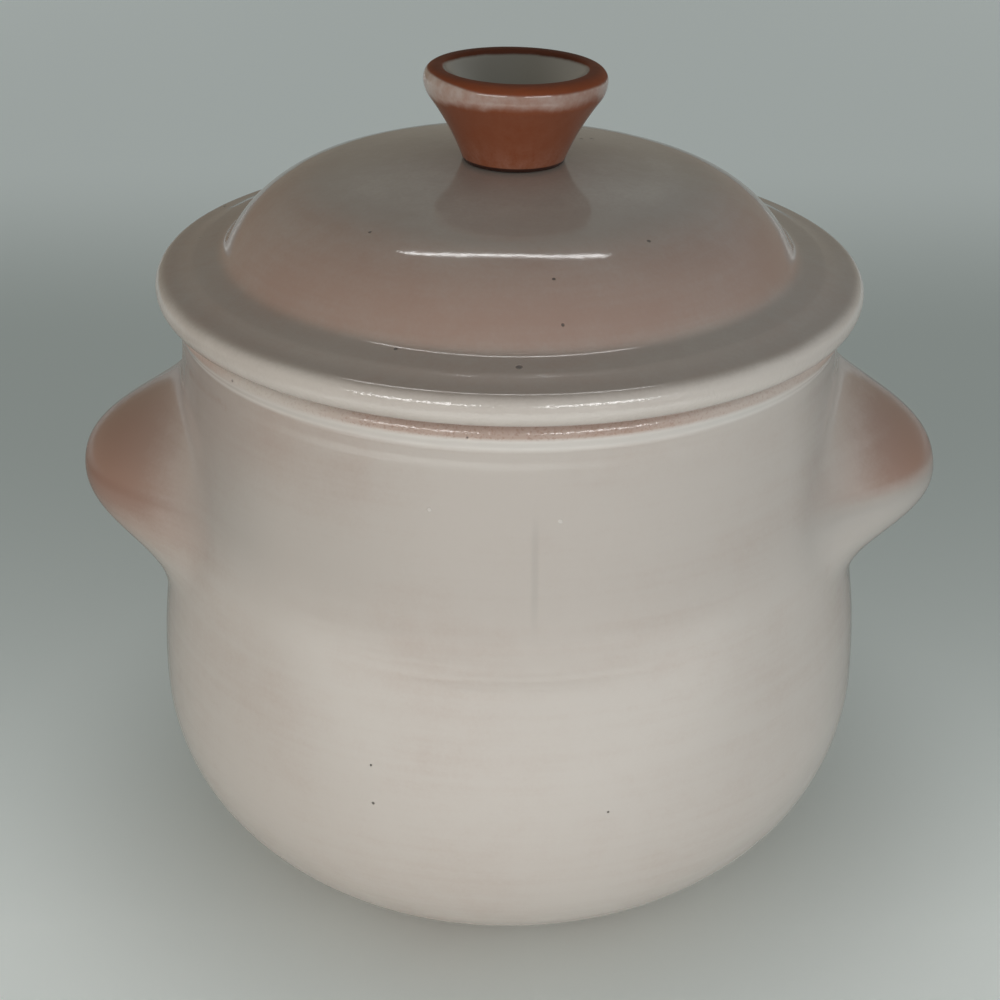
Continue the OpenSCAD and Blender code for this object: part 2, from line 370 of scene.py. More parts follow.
class Wall:
    """The body's rounded section, and its outside radius at any height below the rim.

    Outside, the bend into the neck is eased more widely than the other corners. This fades
    in on the way up to the bend, and out above it.
    """

    STEP, LONGEST, BEND = 0.0007, 0.0020, math.radians(3)
    SOFTNESS, NECK_SOFTNESS = 0.0012, 0.0045
    BELOW_NECK, ABOVE_NECK = 0.022, 0.0025
    FADE_IN, FADE_OUT = 0.010, 0.004
    LEAST_RISE = 1e-7

    def __init__(self, pot):
        plain = pot_outline(pot)
        crisp = rounded(plain, self.STEP, self.SOFTNESS)
        soft = rounded(plain, self.STEP, self.NECK_SOFTNESS)
        height = crisp[:, 1]
        top_row = int(np.argmax(height))
        low, high = pot.neck_h - self.BELOW_NECK, pot.neck_h + self.ABOVE_NECK
        near_neck = ease(height, low, low + self.FADE_IN)
        near_neck *= ease(height, high + self.FADE_OUT, high)
        near_neck[top_row:] = 0.0
        fine = crisp + (soft - crisp) * near_neck[:, None]
        climbs = fine[:top_row]
        rising = np.concatenate([[False], np.diff(climbs[:, 1]) > self.LEAST_RISE])
        self.radii, self.heights = climbs[rising].T
        self.outline = thinned(fine, self.LONGEST, self.BEND)
        self.rim_row = int(np.argmax(self.outline[:, 1]))

    def radius(self, z):
        """Outside radius at a height, read off the section."""
        return np.interp(z, self.heights, self.radii)


def lid_sizes(pot, lid):
    """What the lid's sections share: the brim's edge radius and the ends of the brim's slope,
    then the height of the dome's top and the ring's outside radius."""
    edge_r = lid.brim_t / 2
    brim = point(lid.brim_d / 2 - edge_r, pot.rim_h + lid.brim_t)
    crease = point(lid.crease_d / 2, brim[1] + lid.brim_rise)
    top = crease[1] + lid.dome_rise
    ring_r = pot.neck_d / 2 - pot.wall_t - lid.ring_play
    return edge_r, brim, crease, top, ring_r


def lid_outline(pot, lid):
    """Half section of the lid: crown, shoulder, crease, brim and its round edge, hollow.

    Crown and shoulder are arcs that run into each other. The brim slopes down from the
    crease, dips along a tanh curve where a finger ran round it, turns round an edge that
    hangs a little low and is flat below. The hollow follows the dome.
    """
    edge_r, brim, crease, top, ring_r = lid_sizes(pot, lid)
    ring_in_r = ring_r - lid.ring_t
    slope_r = np.linspace(crease[0], brim[0], 60)[1:-1]
    fall = -np.tanh((slope_r - brim[0] + lid.roll_in) / lid.roll_w)
    fall += np.interp(slope_r, slope_r[[0, -1]], -fall[[0, -1]])
    slope_z = np.interp(slope_r, [crease[0], brim[0]], [crease[1], brim[1]]) + lid.roll_h * fall
    crown = point(0, top - lid.crown_r)
    shoulder = arcs_meet(crown, lid.crown_r - lid.shoulder_r, crease, lid.shoulder_r)
    turn = bearing(shoulder - crown)
    slope = math.atan2(lid.brim_rise, brim[0] - crease[0])
    edge = point(brim[0], pot.rim_h + edge_r)
    nose = arc(edge, edge_r, QUARTER_TURN - slope, -QUARTER_TURN)
    nose[:, 1] += np.minimum(nose[:, 1] - edge[1], 0) * lid.brim_droop / edge_r
    flat_r = brim[0] - 2 * lid.brim_droop
    hollow_r = lid.shoulder_r - lid.dome_t
    inner = math.acos((ring_in_r - shoulder[0]) / hollow_r)
    return np.concatenate([
        arc(crown, lid.crown_r, QUARTER_TURN, turn),
        arc(shoulder, lid.shoulder_r, turn, bearing(crease - shoulder)),
        np.column_stack([slope_r, slope_z]),
        nose,
        run(point(flat_r, pot.rim_h), point(ring_in_r, pot.rim_h)),
        arc(shoulder, hollow_r, inner, turn),
        arc(crown, lid.crown_r - lid.dome_t, turn, QUARTER_TURN),
    ])


def ring_outline(pot, lid):
    """Closed section of the ring: straight sides and a full round below."""
    *_, ring_r = lid_sizes(pot, lid)
    half = lid.ring_t / 2
    centre = point(ring_r - half, pot.rim_h - lid.ring_depth + half)
    return np.concatenate([
        run(point(ring_r, pot.rim_h), point(ring_r - lid.ring_t, pot.rim_h)),
        arc(centre, half, -math.pi, 0),
        run(point(ring_r, centre[1]), point(ring_r, pot.rim_h)),
    ])


def knob_outline(knob):
    """Half section of the knob: foot, hollow flank, roll, lip, well.

    The flank is an arc that bends inwards and runs into the roll under the rim. The lip is
    round, more on its outer edge, and the well's wall slants down to a round corner.
    """
    rim_r, foot_r = knob.rim_d / 2, knob.foot_d / 2
    mouth_r, well_r = knob.mouth_d / 2, knob.well_d / 2
    sink, top = 0.0005, knob.rim_h + knob.lip_h
    low = top - knob.well_depth
    roll = point(rim_r - knob.roll_r, knob.rim_h)
    foot = point(foot_r, 0)
    flank = arcs_meet(roll, knob.flank_r + knob.roll_r, foot, knob.flank_r)
    turn = bearing(flank - roll)
    outer = point(rim_r - knob.lip_h, knob.rim_h)
    inner = point(mouth_r + knob.lip_in_r, top - knob.lip_in_r)
    corner = point(well_r - knob.well_corner_r, low + knob.well_corner_r)
    return np.concatenate([
        run(point(0, -sink), point(foot_r, -sink)),
        arc(flank, knob.flank_r, bearing(foot - flank) % FULL_TURN, turn + math.pi),
        arc(roll, knob.roll_r, turn, 0),
        arc(outer, knob.lip_h, 0, QUARTER_TURN),
        arc(inner, knob.lip_in_r, QUARTER_TURN, math.pi),
        arc(corner, knob.well_corner_r, 0, -QUARTER_TURN),
        run(point(corner[0], low), point(0, low)),
    ])


# ---------------------------------------------------------------- surfaces


def outward(outline):
    """Unit normals of an outline that runs with its clay on the left."""
    along = np.gradient(outline, axis=0)
    along /= np.maximum(np.hypot(*along.T), 1e-12)[:, None]
    return np.column_stack([along[:, 1], -along[:, 0]])


def round_axis(turns):
    """So many even angles round the axis, as a row."""
    return np.linspace(0, FULL_TURN, turns, endpoint=False)[None, :]


def turned(outline, turns, swell=0.0):
    """Surface of revolution as an array of rings, each of so many points.

    A point is (r cos t, r sin t, z), with t round the axis and (r, z) from the outline,
    moved along its normal by the swell.
    """
    t = round_axis(turns)
    normal = outward(outline)
    r, z = (outline[:, [k]] + 0 * t + swell * normal[:, [k]] for k in (0, 1))
    return np.stack([r * np.cos(t), r * np.sin(t), z], axis=-1)


# Throwing rings: strength, spacing along the outline, turns round the axis and phase.
THROWING_RINGS = (1.0, 0.0071, 1, 0.0), (0.8, 0.0123, -1, 1.3), (1.6, 0.0310, 2, 0.4)
# Waves of the wobble: strength, waves round the axis, drift along the outline and phase.
WOBBLE_WAVES = (1.0, 3, 0.013, 0.6), (0.7, 5, -0.009, 2.1), (0.5, 9, 0.017, 0.0)
# Radii at which the marks start to show and are full.
MARKS_FROM, MARKS_FULL = 0.010, 0.030


def hand_marks(outline, turns, ripple, wobble):
    """What the hand leaves on thrown clay, as a swelling along the normal.

    Faint spiral rings are a sum of sines of the distance along the outline, each turning
    slowly round the axis. A wobble is a sum of sines of three to nine waves round the axis,
    which drift along the outline. Both die out near the axis.
    """
    along, t = arc_lengths(outline)[:, None], round_axis(turns)
    rings = sum(
        strength * np.sin(FULL_TURN * along / spacing + count * t + phase)
        for strength, spacing, count, phase in THROWING_RINGS
    )
    waves = sum(
        strength * np.sin(count * t + along / drift + phase)
        for strength, count, drift, phase in WOBBLE_WAVES
    )
    return (ripple * rings + wobble * waves) * ease(outline[:, :1], MARKS_FROM, MARKS_FULL)


def tilted(points, fall, weight=1.0):
    """Points lowered to the right: z - x tan(fall), by the given share."""
    moved = points.copy()
    moved[..., 2] -= np.tan(fall) * points[..., 0] * weight
    return moved


# Heights from the bend of the neck at which the rim's fall starts and is full.
FALL_FROM, FALL_FULL = -0.018, 0.004


def fallen(rings, pot):
    """Rings of the body or an ear, tilted from the neck up by the rim's fall."""
    weight = ease(rings[..., 2], pot.neck_h + FALL_FROM, pot.neck_h + FALL_FULL)
    return tilted(rings, pot.rim_fall, weight)


def wrapped_faces(rows, turns, closed):
    """Quads between neighbouring rings, counted so that they face outwards."""
    last = rows if closed else rows - 1
    i = np.arange(last)[:, None]
    k = np.arange(turns)[None, :]
    below, above = i % rows * turns, (i + 1) % rows * turns
    nxt = (k + 1) % turns
    return np.stack([below + k, below + nxt, above + nxt, above + k], axis=-1).reshape(-1, 4)


def fan_faces(pole, ring_start, turns, flip):
    """Triangles that close a ring at its pole."""
    k = np.arange(turns)
    nxt = (k + 1) % turns
    sides = (nxt, k) if flip else (k, nxt)
    return np.column_stack([np.full(turns, pole), ring_start + sides[0], ring_start + sides[1]])


def make_piece(name, rings, closed=False, run_along=None):
    """Object from an array of rings. The end rings of an open one shrink to poles.

    run_along, the distance along the section to each ring, is kept as the attribute run.
    """
    rows, turns = rings.shape[:2]
    if closed:
        points = rings.reshape(-1, 3)
        faces = wrapped_faces(rows, turns, True).tolist()
    else:
        inner = rings[1:-1]
        count = (rows - 2) * turns
        poles = np.stack([rings[0].mean(axis=0), rings[-1].mean(axis=0)])
        points = np.concatenate([inner.reshape(-1, 3), poles])
        faces = wrapped_faces(rows - 2, turns, False).tolist()
        faces += fan_faces(count, 0, turns, True).tolist()
        faces += fan_faces(count + 1, count - turns, turns, False).tolist()
    mesh = bpy.data.meshes.new(name)
    mesh.from_pydata(points.tolist(), [], faces)
    if run_along is not None:
        each = np.concatenate([np.repeat(run_along[1:-1], turns), run_along[[0, -1]]])
        kept = mesh.attributes.new("run", "FLOAT", "POINT")
        kept.data.foreach_set("value", each.astype(np.float32))
    mesh.polygons.foreach_set("use_smooth", np.ones(len(faces), bool))
    mesh.validate()
    mesh.update()
    piece = bpy.data.objects.new(name, mesh)
    bpy.context.scene.collection.objects.link(piece)
    return piece


def stand_for(piece, node, body, finish):
    """Puts the finish on a piece, and the piece in the place of its CAD node."""
    piece.data.materials.append(finish)
    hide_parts(node)
    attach(piece, body)


class EarShape:
    """The ear as a swelling of the wall, on the right, 1, or on the left, -1.

    s runs from 0 at the tip to 1 at the feathered edge, and a goes round the tip. The
    height is crest + s sin(a) up or down, the turn about the axis is s cos(a) side, and
    the swelling over the wall is rise (1 - s^blunt)^3. Past the edge, as far as s = EDGE,
    the ear dives under the wall by DIVE (s - 1)^2, so that the two run into each other.
    """

    RINGS, SIDES, SPREAD = 70, 160, 0.9
    EDGE, DIVE, ROOT = 1.06, 0.012, 0.003

    def __init__(self, ears, wall, hand):
        self.wall, self.hand = wall, hand
        self.side, self.blunt = ears.side, ears.blunt
        right = ears.crest_h, ears.up, ears.down
        left = ears.left_crest_h, ears.left_up, ears.left_down
        self.crest_h, self.up, self.down = right if hand > 0 else left
        self.crest_r = float(wall.radius(self.crest_h))
        self.rise = ears.span / 2 - self.crest_r

    def share(self, s):
        """How much of the rise stands at s: 1 at the tip, 0 at the edge and past it."""
        return (1 - np.clip(s, 0, 1) ** self.blunt) ** 3

    def rings(self):
        """Rings from the tip to the edge, and back to a point ROOT deep in the wall."""
        a = np.linspace(FULL_TURN, 0, self.SIDES, endpoint=False)[None, :]
        s = self.EDGE * np.linspace(0, 1, self.RINGS)[:, None] ** self.SPREAD
        lift = self.rise * self.share(s) - self.DIVE * np.maximum(s - 1, 0) ** 2
        back = np.array([[1.0], [0.5], [0.0]])
        s = np.concatenate([s, back])
        lift = np.concatenate([lift, np.full(back.shape, -self.ROOT)])
        z = self.crest_h + s * np.sin(a) * np.where(np.sin(a) > 0, self.up, self.down)
        turn = s * np.cos(a) * self.side / self.crest_r
        r = self.wall.radius(z) + lift
        rings = np.stack([r * np.cos(turn), r * np.sin(turn), z], axis=-1)
        return rings if self.hand > 0 else rings[:, ::-1] * np.array([-1.0, 1.0, 1.0])

    def reach(self, points):
        """s of each point of the wall under or beside the ear."""
        x, y, z = np.moveaxis(points, -1, 0)
        above = z - self.crest_h
        turn = np.arctan2(y, self.hand * x) * self.crest_r / self.side
        return np.hypot(above / np.where(above > 0, self.up, self.down), turn)


def wall_and_ears(own):
    """The wall, and the shapes of the right and the left ear on it."""
    wall = Wall(own.pot)
    return wall, EarShape(own.ears, wall, 1), EarShape(own.ears, wall, -1)


# ---------------------------------------------------------------- finishes


class Wire:
    """A node's output that takes part in sums, as in 1 - mask or a * b + c."""

    def __init__(self, finish, socket):
        self.finish, self.socket = finish, socket

    def other(self, name):
        """Another output of the same node."""
        return Wire(self.finish, self.socket.node.outputs[name])

    def sway(self, amount):
        """A noise about its middle, times an amount."""
        return (self - 0.5) * amount

    def maths(self, operation, first, second):
        """A Math node on two wires or numbers."""
        return self.finish.node("ShaderNodeMath", {"operation": operation}, {0: first, 1: second})

    def __add__(self, value):
        return self.maths("ADD", self, value)

    def __sub__(self, value):
        return self.maths("SUBTRACT", self, value)

    def __rsub__(self, value):
        return self.maths("SUBTRACT", value, self)

    def __mul__(self, value):
        return self.maths("MULTIPLY", self, value)

    def __pow__(self, value):
        return self.maths("POWER", self, value)

    def __rpow__(self, value):
        return self.maths("POWER", value, self)

    def __abs__(self):
        return self.finish.node("ShaderNodeMath", {"operation": "ABSOLUTE"}, {0: self})

    __radd__ = __add__
    __rmul__ = __mul__


class Finish:
    """A tree of nodes, such as a material's, that is written as sums of wires."""

    def __init__(self, tree):
        self.tree = tree
        self.tree.nodes.clear()

    @classmethod
    def material(cls, name):
        """A new material and its finish."""
        made = bpy.data.materials.new(name)
        made.use_nodes = True
        return made, cls(made.node_tree)

    def node(self, kind, settings=None, sockets=None, output=0):
        """Adds a node, sets its settings, then sets or links its sockets."""
        made = self.tree.nodes.new(kind)
        for key, value in (settings or {}).items():
            setattr(made, key, value)
        for key, value in (sockets or {}).items():
            if isinstance(value, Wire):
                self.tree.links.new(value.socket, made.inputs[key])
            else:
                made.inputs[key].default_value = value
        return Wire(self, made.outputs[output]) if made.outputs else None

    def place(self):
        """Place on the piece, in metres."""
        return self.node("ShaderNodeTexCoord", output="Object")

    def axes(self, vector):
        """A vector's x, y and z."""
        split = self.node("ShaderNodeSeparateXYZ", sockets={0: vector})
        return split, split.other("Y"), split.other("Z")

    def vector(self, operation, first, second, output=0):
        """A Vector Math node on two vectors."""
        sockets = {0: first, 1: second}
        return self.node("ShaderNodeVectorMath", {"operation": operation}, sockets, output)

    def length(self, vector):
        """A vector's length."""
        sockets = {0: vector}
        return self.node("ShaderNodeVectorMath", {"operation": "LENGTH"}, sockets, output="Value")

    def gap(self, first, second):
        """Distance from one place to another."""
        return self.vector("DISTANCE", first, second, output="Value")

    def noise(self, vector, scale, detail=2.0, roughness=0.5):
        """Noise from 0 to 1, with so many cells to the metre."""
        return self.node("ShaderNodeTexNoise", sockets={
            "Vector": vector, "Scale": scale, "Detail": detail, "Roughness": roughness,
        })

    def step(self, value, low, high):
        """0 below low and 1 above high, eased between; the other way round if high is less."""
        return self.node("ShaderNodeMapRange", {"interpolation_type": "SMOOTHSTEP"}, {
            "Value": value, "From Min": low, "From Max": high,
        })

    def blend(self, amount, first, second):
        """Colour that goes from first to second."""
        wired = [c if isinstance(c, Wire) else (*c, 1.0) for c in (first, second)]
        return self.node("ShaderNodeMix", {"data_type": "RGBA"}, {
            0: amount, 6: wired[0], 7: wired[1],
        }, output=2)

    def dots(self, vector, places):
        """Round dots, each a place on the surface and a radius."""
        shown = 0.0
        for *centre, radius in places:
            shown = self.step(self.gap(vector, centre), radius, 0.5 * radius) + shown
        return shown

    def stroke(self, vector, start, end, radius):
        """Stroke with round ends: the gap to the nearest point start + t (end - start)."""
        along = np.subtract(end, start)
        off = self.vector("SUBTRACT", vector, start)
        t = self.vector("DOT_PRODUCT", off, along / np.dot(along, along), output="Value")
        t = self.node("ShaderNodeClamp", sockets={"Value": t})
        nearest = self.node("ShaderNodeVectorMath", {"operation": "SCALE"}, {0: along, "Scale": t})
        return self.step(self.gap(off, nearest), radius, 0.1 * radius)

    def specks(self, vector, cell, radius):
        """Sparse round specks: where a surface passes within radius of a cell's own point."""
        cells = self.node("ShaderNodeTexVoronoi", sockets={"Vector": vector, "Scale": 1.0 / cell})
        return self.step(cells, radius / cell, 0.55 * radius / cell)

    def surface(self, base, roughness, height, **fixed):
        """Ends the material in a Principled shader with a bump of that height in metres."""
        bump = self.node("ShaderNodeBump", sockets={
            "Strength": 1.0, "Distance": 1.0, "Height": height,
        })
        shader = self.node("ShaderNodeBsdfPrincipled", sockets={
            "Base Color": base, "Roughness": roughness, "Normal": bump, **fixed,
        })
        self.node("ShaderNodeOutputMaterial", sockets={"Surface": shader})


# In the finishes, the two numbers of a step are where a change starts and where it is full.
# Places and distances are in metres, and masks are shares from 0 to 1.

# Pinholes in the glaze that show from the front: place and radius, in metres.
POT_PINHOLES = (
    (-0.0724, -0.0621, 0.1702, 0.0006),
    (-0.0104, -0.0948, 0.1691, 0.0005),
    (-0.0362, -0.0985, 0.0633, 0.0005),
    (-0.0365, -0.0975, 0.0748, 0.0004),
    (0.0265, -0.1015, 0.0628, 0.0004),
)
LID_PINHOLES = (
    (0.0024, -0.0864, 0.1845, 0.0010),
    (-0.0284, -0.0778, 0.1857, 0.0006),
    (0.0133, -0.0759, 0.1915, 0.0005),
    (0.0360, -0.0483, 0.2039, 0.0006),
    (0.0111, -0.0668, 0.2003, 0.0005),
    (-0.0362, -0.0461, 0.2054, 0.0005),
)
# A thumb's smear in the glaze, left under the rim: its ends and radius.
POT_SMEAR = (-0.0870, -0.0325, 0.1602), (-0.0750, -0.0548, 0.1602), 0.0023
# Beads of thick glaze on the front of the body.
POT_BEADS = (
    (-0.0201, -0.0927, 0.1483, 0.0007),
    (0.0129, -0.0944, 0.1459, 0.0007),
)
GLAZE_IOR = 1.6
# Relief of the glaze, in metres: its mottle, streaks, grain and orange peel, the depth of a
# pinhole, the height of a bead, and the depth of the drip and of the line round the brim.
MOTTLE, STREAK, GRAIN, PEEL = 0.00004, 0.00003, 0.000006, 0.00010
PIT, BEAD, DRIP, LINE = 0.0003, 0.00015, 0.00005, 0.00013
# Relief of the knob's clay, in metres.
CLAY_MOTTLE, CLAY_STREAK, CLAY_GRAIN = 0.00004, 0.00002, 0.00001


def glaze_layers(finish, tones, pit, cover, pinholes, pitted):
    """Colour, roughness and height of the milky glaze.

    cover is how thick it lies: 0, about a half and 1 take the three tones in turn. Clouds,
    streaks from the wheel and a fine mottle vary it. Pinholes pierce it, and it is as rough
    as orange peel where pitted is 1.
    """
    step, blend = finish.step, finish.blend
    worn, middle, thick = tones
    place = finish.place()
    clouds = finish.noise(place, 28.0, 3.0)
    mottle = finish.noise(place, 170.0, 3.0, 0.6)
    grain = finish.noise(place, 900.0, 2.0, 0.6)
    streaks = finish.noise(finish.vector("MULTIPLY", place, (9.0, 9.0, 330.0)), 1.0, 3.0, 0.6)
    uneven = clouds.sway(0.9) + mottle.sway(0.35) + streaks.sway(0.5) + grain.sway(0.3)
    depth = cover + uneven * 0.45
    lower = blend(step(depth, 0.0, 0.5), worn, middle)
    base = blend(step(depth, 0.4, 0.95), lower, thick)
    _, y, _ = finish.axes(place)
    pits = finish.specks(place, 0.013, 0.0006) * step(y, 0.0, 0.03)
    pits = pits + finish.dots(place, pinholes)
    base = blend(pits * 0.85, base, pit)
    roughness = 0.07 + mottle * 0.05 + pits * 0.3
    height = mottle * MOTTLE + streaks * STREAK - pits * PIT + grain * (pitted * PEEL + GRAIN)
    return base, roughness, height


def wall_glaze(finish, clay, pot, ear, roll=0.0, thinned_roll=0.0):
    """Glaze of the wall and of the ears, which run into each other.

    It is pinker on the left of the neck and low on the belly. High on the wall, round the ears
    and a little on the left it is painted greyer, as painted shade. Hands have worn it out along
    the ears, less on their undersides and hardly under the right one. roll is where the rim's
    roll pits it.
    """
    step, blend = finish.step, finish.blend
    x, _, z = finish.axes(finish.place())
    out = abs(x)
    right = step(x, -0.05, 0.05)
    along = step(out, ear.crest_r - 0.034 + right * 0.008, ear.crest_r + 0.7 * ear.rise)
    low, high = ear.crest_h - 0.0235 + right * 0.022, ear.crest_h + 0.0025 + right * 0.004
    worn = along * step(z, low, high)
    left = step(x, -0.01, -0.06) * step(z, pot.neck_h - 0.03, pot.neck_h) * (1 - roll)
    foot = step(z, pot.belly_h, 0.004)
    cover = 0.88 - thinned_roll * 0.42 - left * 0.25 - foot * 0.1 - worn * 0.95
    tones = clay.thin, clay.blush, clay.milk
    base, roughness, height = glaze_layers(finish, tones, clay.pit, cover, POT_PINHOLES, roll)
    # Painted shade: high on the wall the glaze is painted greyer, more at the sides round the ears
    # and a little on the left.
    sides = step(x, -0.055, -0.092) + step(x, 0.074, 0.092)
    shade_high_on_wall = step(z, 0.103, 0.129) * (1 - roll) * (1 - worn)
    grey = shade_high_on_wall * (0.18 + sides * 0.66 + step(x, -0.01, -0.05) * 0.12)
    base = blend(grey, base, clay.shade_and_drip_grey)
    return base, roughness + worn * 0.13, height


def pot_finish(clay, pot, ear):
    """Glaze of the body: thin and pitted on the rim's roll, pooled under it, and bare on the
    seat of the lid and under the base. The dark bare seat is also painted shade for the gap
    under the lid."""
    made, finish = Finish.material("milky_glaze_on_the_body")
    step, blend = finish.step, finish.blend
    place = finish.place()
    x, y, z = finish.axes(place)
    level = z + x * math.tan(pot.rim_fall)
    roll = step(level, pot.rim_h - 0.0061, pot.rim_h - 0.0047)
    thinned_roll = roll * step(x, -0.065, -0.025) * (1 - step(x, 0.02, 0.06) * 0.7)
    base, roughness, height = wall_glaze(finish, clay, pot, ear, roll, thinned_roll)
    mottle = step(finish.noise(place, 1500.0, 1.0), 0.52, 0.68)
    base = blend(mottle * (roll * 0.12 + thinned_roll * 0.3), base, clay.thin)
    pool = step(level, pot.rim_h - 0.0092, pot.rim_h - 0.0080) * (1 - roll)
    beads = finish.dots(place, POT_BEADS)
    base = blend(beads * 0.5 + pool * 0.6, base, clay.bead)
    drip = step(abs(x - 0.0066), 0.0014, 0.0003) * step(y, -0.08, -0.085)
    drip = drip * step(z, 0.112, 0.128) * step(z, 0.150, 0.140)
    base = blend(drip * 0.3, base, clay.shade_and_drip_grey)
    patchy = step(finish.noise(place, 260.0, 2.0), 0.25, 0.65)
    base = blend(finish.stroke(place, *POT_SMEAR) * patchy * 0.5, base, clay.thin)
    bare = step(z, 0.0012, 0.0004)
    # Bare clay and painted shade: the seat is bare, and its dark clay also stands in for the
    # shadow in the gap under the lid.
    seat = step(level, pot.rim_h - 0.0008, pot.rim_h - 0.0003)
    base = blend(bare + seat * 0.8, base, clay.clay)
    roughness = roughness + bare * 0.45 + seat * 0.4
    finish.surface(base, roughness, height + beads * BEAD - drip * DRIP, IOR=GLAZE_IOR)
    return made


def ear_finish(clay, pot, ear):
    """Glaze of the ears: as on the wall at the edge, worn thin to the clay at the tip."""
    made, finish = Finish.material("worn_glaze_on_the_ears")
    finish.surface(*wall_glaze(finish, clay, pot, ear), IOR=GLAZE_IOR)
    return made


def lid_finish(clay, lid):
    """Glaze of the lid: hazy on top, pinker low on the dome, thick round the brim's edge, with
    a broken line round the brim. The brim is painted darker on its left, as painted shade."""
    made, finish = Finish.material("milky_glaze_on_the_lid")
    step, blend = finish.step, finish.blend
    place = finish.place()
    out = finish.length(finish.vector("MULTIPLY", place, (1.0, 1.0, 0.0)))
    crease, brim_r = lid.crease_d / 2, lid.brim_d / 2
    x, _, _ = finish.axes(place)
    brim = step(out, crease - 0.003, crease + 0.003)
    # Painted shade: less glaze on the left of the brim paints it darker there.
    brim = brim * (0.32 - step(x, 0.02, -0.05) * 0.08)
    edge = step(out, brim_r - 0.0035, brim_r - 0.0001)
    low = step(out, 0.040, crease - 0.004)
    cover = 0.52 - low * 0.42 + brim + edge * 0.5
    tones = clay.lid_glow, clay.lid_haze, clay.milk
    base, roughness, height = glaze_layers(finish, tones, clay.pit, cover, LID_PINHOLES, edge)
    line = crease + 0.0091 + finish.noise(place, 60.0).sway(0.0012)
    fall = step(out - line, -0.0012, 0.0012) * (0.3 + finish.noise(place, 90.0) * 0.8)
    finish.surface(base, roughness, height - fall * LINE, IOR=GLAZE_IOR)
    return made


def knob_finish(clay, knob, zones):
    """Clay of the knob: a thin clear skin on the flank, a band of milk under the bare lip,
    and glaze in the well. The lip is painted darker towards the back, as painted shade, and the
    well paler on its sides and right, as painted light. zones are distances along the section."""
    made, finish = Finish.material("terracotta_of_the_knob")
    step, blend = finish.step, finish.blend
    place = finish.place()
    along = finish.node("ShaderNodeAttribute", {"attribute_name": "run"}, output="Fac")
    mottle = finish.noise(place, 260.0, 3.0, 0.6)
    grain = finish.noise(place, 1300.0, 2.0, 0.6)
    streaks = finish.noise(finish.vector("MULTIPLY", place, (420.0, 420.0, 45.0)), 1.0, 2.0)
    wander = finish.noise(place, 120.0, 3.0, 0.6).sway(0.004)
    tone = mottle.sway(0.8) + streaks.sway(0.7) + grain.sway(0.6)
    flank = blend(step(tone, -0.5, 0.5), clay.clay, clay.thin)
    near_foot = step(along, zones["foot"] + 0.010, zones["foot"])
    flank = blend(0.1 + near_foot * 0.25, clay.clay, flank)
    x, y, _ = finish.axes(place)
    from_band = along + wander + step(x, -0.004, -0.022) * 0.0018
    band = step(from_band, zones["band"], zones["band"] + 0.0032)
    on_lip = along - step(x, -0.006, -0.022) * 0.0016 + wander * 0.1
    lip = step(on_lip, zones["lip"] - 0.0005, zones["lip"] + 0.0005)
    band = band * (1 - lip)
    milk = blend(step(mottle, 0.3, 0.7), clay.blush, clay.milk)
    base = blend(band * (0.42 + step(x, 0.0, -0.024) * 0.25), flank, milk)
    rust = blend(step(mottle, 0.25, 0.75), clay.rust, clay.clay)
    # Painted shade: the lip is painted darker towards the back.
    rust = blend(step(y, 0.002, 0.018) * 0.45, rust, clay.joint)
    base = blend(lip, base, rust)
    from_well = along + wander * 0.2 - step(y, 0.0, 0.016) * 0.0010
    well = step(from_well, zones["well"] - 0.0004, zones["well"] + 0.0006)
    # Painted light: the well's glaze is painted paler towards its sides, and more on the right.
    pale = step(abs(x - knob.shift), 0.005, 0.019) * 0.35
    pale = pale + step(x, 0.004, 0.016) * 0.12
    base = blend(well, base, blend(pale, clay.well, clay.milk))
    joint = step(along, zones["foot"] + 0.0002, zones["foot"] - 0.0001)
    base = blend(joint, base, clay.joint)
    glazed = band * 0.2 + well + (1 - lip) * (1 - well) * 0.8
    roughness = 0.55 + mottle.sway(0.2)
    height = mottle * CLAY_MOTTLE + streaks * CLAY_STREAK + grain * CLAY_GRAIN
    finish.surface(base, roughness, height, **{
        "Specular IOR Level": 0.12, "Coat Weight": glazed, "Coat Roughness": 0.1,
    })
    return made


# ---------------------------------------------------------------- operators


class PotStep:
    """What the operators share. TURNS is the number of points round a turned piece."""

    bl_options = {"REGISTER", "UNDO"}
    TURNS = 224

    @staticmethod
    def settings(context):
        """All the settings of the pot."""
        return context.scene.clay_pot


class CLAYPOT_OT_throw_body(PotStep, bpy.types.Operator):
    """Throws the pot's body: base, belly, leaning wall, neck, rolled rim and inside"""

    bl_idname = "clay_pot.throw_body"
    bl_label = "Throw the body"

    # How deep the wall lies under an ear's tip, and the ear's s where there is none.
    UNDER_EAR, NO_EAR = 0.002, 2.0

    def execute(self, context):
        """The wall's section turned, with marks of the hand except at the rim, the base and
        the ears. Under each ear the wall sinks in, so that only the ear shows."""
        own = self.settings(context)
        pot = own.pot
        wall, right, left = wall_and_ears(own)
        outside = np.arange(len(wall.outline))[:, None] < wall.rim_row
        height = wall.outline[:, 1:]
        clear = ease(height, pot.rim_h - 0.002, pot.rim_h - 0.006) * ease(height, 0.001, 0.010)
        swell = hand_marks(wall.outline, self.TURNS, pot.ripple, pot.wobble) * clear
        plain = turned(wall.outline, self.TURNS)
        for ear in (right, left):
            s = np.where(outside, ear.reach(plain), self.NO_EAR)
            swell = swell * ease(s, 1.0, 1.3) - self.UNDER_EAR * ear.share(s) ** (2 / 3)
        rings = fallen(turned(wall.outline, self.TURNS, swell), pot)
        piece = make_piece("thrown_body", rings)
        stand_for(piece, "pot_body", "pot", pot_finish(own.clay, pot, right))
        return {"FINISHED"}


